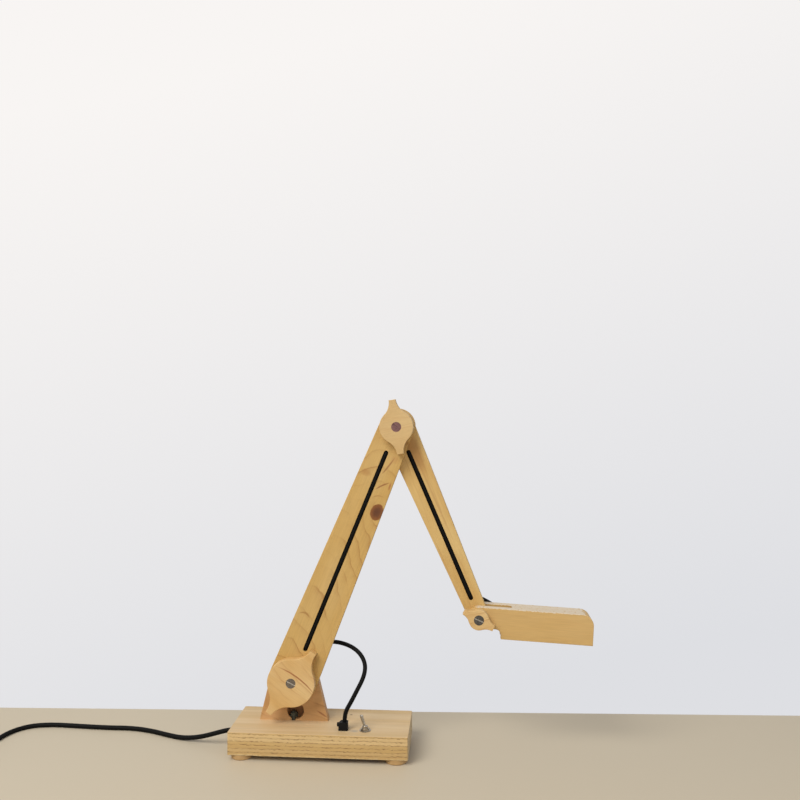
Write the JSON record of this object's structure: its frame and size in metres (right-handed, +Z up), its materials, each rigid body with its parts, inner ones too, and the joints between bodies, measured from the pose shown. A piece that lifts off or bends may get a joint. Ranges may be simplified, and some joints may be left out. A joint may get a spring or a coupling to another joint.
{
  "type": "jointed wooden desk lamp",
  "caption": "Jointed wooden desk lamp: plywood base with toggle switch, bracket, arms and a forked head on wing-knob pivots, with a lead laid in grooves and a mains cord.",
  "frame": {"origin": "middle of the base's footprint, on the surface that the feet stand on", "axes": "+X along the base from the mains cord's end towards the head, +Y away from the front, where the knobs and the switch are, +Z up"},
  "size_m": [0.733, 0.136, 0.3778],
  "materials": {
    "base_plywood": "clear satin plywood, edge plies showing",
    "bracket_pine": "oiled pine",
    "arm_pine": "oiled pine, flat-sawn figure",
    "head_pine": "oiled pine",
    "knob_pine": "oiled pine",
    "foot_beech": "plain turned wood",
    "hardboard": "smooth hardboard",
    "zinc_steel": "bright zinc plated",
    "bright_sleeve": "turned, bright",
    "bronzed_sleeve": "bronzed, dull",
    "dark_sleeve": "blackened, dull",
    "nickel": "nickel plated",
    "plug_nickel": "nickel plated",
    "tinned_brass": "tinned",
    "switch_resin": "moulded resin",
    "black_plastic": "moulded, matt",
    "driver_case": "moulded, matt",
    "circuit_board": "white solder resist",
    "led_phosphor": "yellow phosphor",
    "wire_sleeve": "insulated wire",
    "lead_jacket": "black jacket, satin",
    "cord_jacket": "black jacket, satin"
  },
  "bodies": {
    "base": {"base_block": "base_plywood", "base_cover": "hardboard", "cover_screws": "zinc_steel", "foot_front_left": "foot_beech", "foot_front_right": "foot_beech", "foot_rear_left": "foot_beech", "foot_rear_right": "foot_beech", "foot_screws": "zinc_steel", "bracket": "bracket_pine", "bracket_bolt": "zinc_steel", "bracket_washer": "zinc_steel", "bracket_nut": "zinc_steel", "shoulder_bolt": "zinc_steel", "cord_grip": "black_plastic", "cord_grip_screw": "black_plastic", "switch_body": "switch_resin", "switch_bushing": "nickel", "switch_washer": "nickel", "switch_nut": "nickel", "switch_terminals": "tinned_brass", "switch_wires": "wire_sleeve", "led_driver": "driver_case", "cord_stop": "black_plastic", "lead_in_base": "lead_jacket", "lead_shoulder_loop": "lead_jacket", "mains_cord_inside": "cord_jacket", "mains_cord": "cord_jacket", "mains_coil": "cord_jacket", "mains_cord_plug_end": "cord_jacket", "plug_body": "black_plastic", "plug_pins": "plug_nickel"},
    "lower_arm": {"lower_arm": "arm_pine", "lead_lower_arm": "lead_jacket", "lead_elbow_loop": "lead_jacket"},
    "upper_arm": {"upper_arm": "arm_pine", "elbow_bolt": "zinc_steel", "lead_upper_arm": "lead_jacket", "lead_head_loop": "lead_jacket"},
    "head": {"head_front_cheek": "head_pine", "head_rear_cheek": "head_pine", "head_bar": "head_pine", "head_bolt": "zinc_steel", "led_board": "circuit_board", "led_chips": "led_phosphor", "lead_in_head": "lead_jacket"},
    "shoulder_knob": {"shoulder_knob": "knob_pine", "shoulder_sleeve_nut": "bright_sleeve"},
    "elbow_knob": {"elbow_knob": "knob_pine", "elbow_sleeve_nut": "bronzed_sleeve"},
    "head_knob": {"head_knob": "knob_pine", "head_sleeve_nut": "dark_sleeve"},
    "switch_lever": {"switch_lever": "nickel"}
  },
  "joints": [
    {"name": "shoulder_pivot", "type": "hinge", "parent": "base", "child": "lower_arm", "pos_m": [-0.0315, 0, 0.0754], "axis": [0, 1, 0], "range_deg": [-50, 20], "deforming": ["lead_shoulder_loop"]},
    {"name": "elbow_pivot", "type": "hinge", "parent": "lower_arm", "child": "upper_arm", "pos_m": [0.08111, 0, 0.3486], "axis": [0, 1, 0], "range_deg": [-90, 2], "deforming": ["lead_elbow_loop"]},
    {"name": "head_pivot", "type": "hinge", "parent": "upper_arm", "child": "head", "pos_m": [0.16795, 0, 0.14647], "axis": [0, 1, 0], "range_deg": [-60, 75], "deforming": ["lead_head_loop"]},
    {"name": "shoulder_knob_turn", "type": "hinge", "parent": "base", "child": "shoulder_knob", "pos_m": [-0.0315, 0, 0.0754], "axis": [0, 1, 0], "range_deg": [-180, 0]},
    {"name": "elbow_knob_turn", "type": "hinge", "parent": "upper_arm", "child": "elbow_knob", "pos_m": [0.08111, 0, 0.3486], "axis": [0, 1, 0], "range_deg": [-180, 0]},
    {"name": "head_knob_turn", "type": "hinge", "parent": "head", "child": "head_knob", "pos_m": [0.16795, 0, 0.14647], "axis": [0, 1, 0], "range_deg": [-180, 0]},
    {"name": "switch_toggle", "type": "hinge", "parent": "base", "child": "switch_lever", "pos_m": [0.0486, -0.0215, 0.0328], "axis": [0, 1, 0], "range_deg": [0, 36]}
  ]
}
